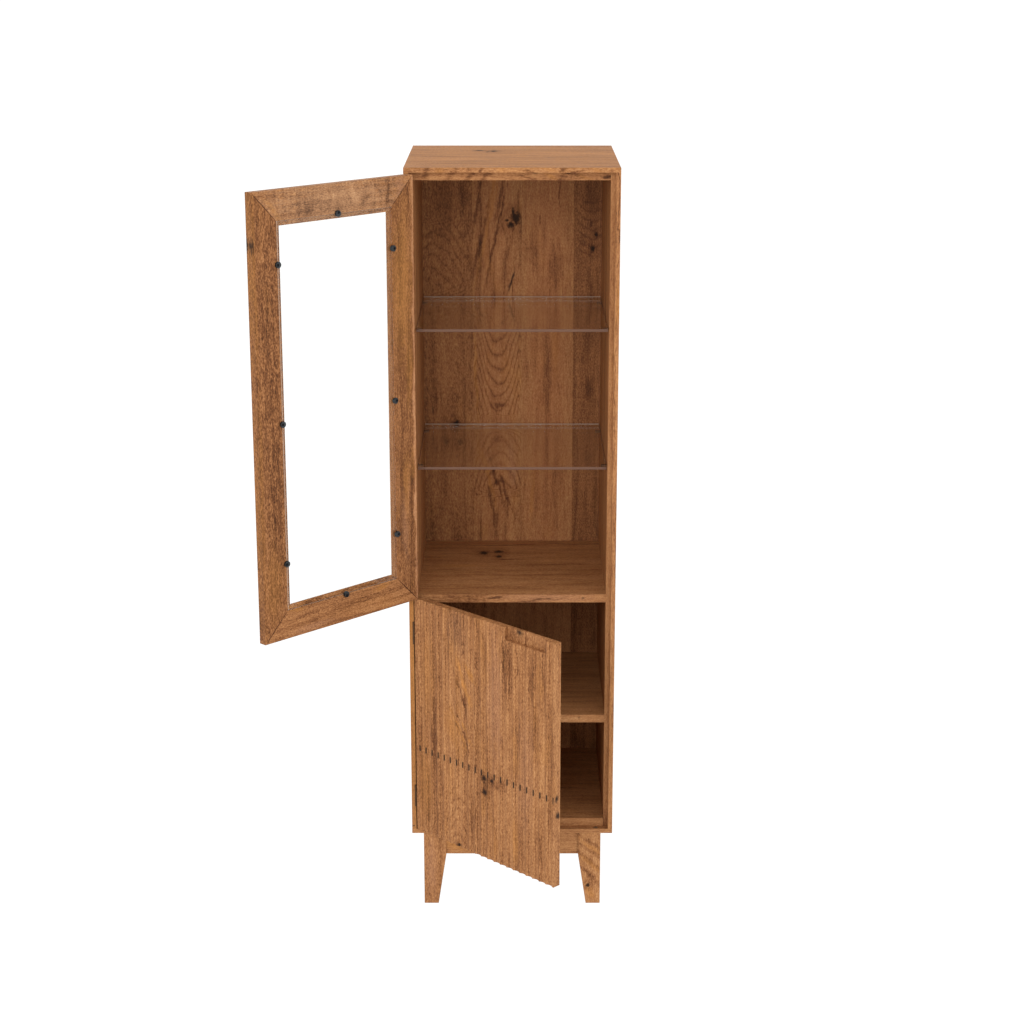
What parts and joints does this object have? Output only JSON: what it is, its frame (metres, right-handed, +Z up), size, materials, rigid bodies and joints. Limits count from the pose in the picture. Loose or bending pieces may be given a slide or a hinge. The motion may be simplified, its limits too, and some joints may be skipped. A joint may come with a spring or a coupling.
{
  "type": "glass-door display cabinet",
  "caption": "Tall narrow solid-wood display cabinet with a mitred glass door above, a fluted wooden door below, glass shelves inside and a base with tapered legs.",
  "frame": {"origin": "on the floor, under the centre of the casing, midway between the soles", "axes": "+X to the right seen from the front, +Y to the back, +Z up"},
  "size_m": [0.7393, 0.7684, 1.66],
  "materials": {
    "mango_wood": "satin oiled solid wood",
    "back_wood": "satin oiled solid wood, darker",
    "joint_wood": "plain beech, glued in",
    "door_glass": "clear polished",
    "shelf_glass": "clear polished, ground edge",
    "black_steel": "satin black",
    "hinge_steel": "dark bronze satin",
    "bright_steel": "satin steel",
    "magnet": "nickel plated",
    "zinc_steel": "zinc plated"
  },
  "bodies": {
    "cabinet": {"apron_front": "mango_wood", "apron_left": "mango_wood", "apron_rear": "mango_wood", "apron_right": "mango_wood", "back_board_1": "back_wood", "back_board_2": "back_wood", "back_board_3": "back_wood", "back_board_4": "back_wood", "back_screws": "zinc_steel", "base_screws": "zinc_steel", "carcass_dowels": "joint_wood", "casing_bottom": "mango_wood", "casing_left_side": "mango_wood", "casing_right_side": "mango_wood", "casing_top": "mango_wood", "corner_blocks": "mango_wood", "divider": "mango_wood", "glass_shelf_lower": "shelf_glass", "glass_shelf_upper": "shelf_glass", "inner_bottom": "mango_wood", "inner_left_side": "mango_wood", "inner_right_side": "mango_wood", "inner_top": "mango_wood", "leg_bolts": "zinc_steel", "leg_front_left": "mango_wood", "leg_front_right": "mango_wood", "leg_rear_left": "mango_wood", "leg_rear_right": "mango_wood", "lower_hinge_case_leaves": "hinge_steel", "lower_hinge_case_screws": "hinge_steel", "lower_hinge_pins": "hinge_steel", "lower_shelf": "mango_wood", "lower_strike_disc": "bright_steel", "shelf_pins": "bright_steel", "upper_hinge_case_leaves": "hinge_steel", "upper_hinge_case_screws": "hinge_steel", "upper_hinge_pins": "hinge_steel", "upper_strike_disc": "bright_steel"},
    "upper_door": {"glass_retainers": "black_steel", "mitre_splines": "joint_wood", "retainer_screws": "black_steel", "upper_door_bottom_rail": "mango_wood", "upper_door_free_stile": "mango_wood", "upper_door_hinge_stile": "mango_wood", "upper_door_magnet": "magnet", "upper_door_pane": "door_glass", "upper_door_top_rail": "mango_wood", "upper_hinge_door_leaves": "hinge_steel", "upper_hinge_door_screws": "hinge_steel"},
    "lower_door": {"lower_door_magnet": "magnet", "lower_door_panel": "mango_wood", "lower_hinge_door_leaves": "hinge_steel", "lower_hinge_door_screws": "hinge_steel"}
  },
  "joints": [
    {"name": "upper_door_hinge", "type": "hinge", "parent": "cabinet", "child": "upper_door", "pos_m": [-0.2155, -0.225, 1.1895], "axis": [0, 0, -1], "range_deg": [-134.4, 35.6]},
    {"name": "lower_door_hinge", "type": "hinge", "parent": "cabinet", "child": "lower_door", "pos_m": [-0.2155, -0.225, 0.456], "axis": [0, 0, -1], "range_deg": [-45, 125]}
  ]
}
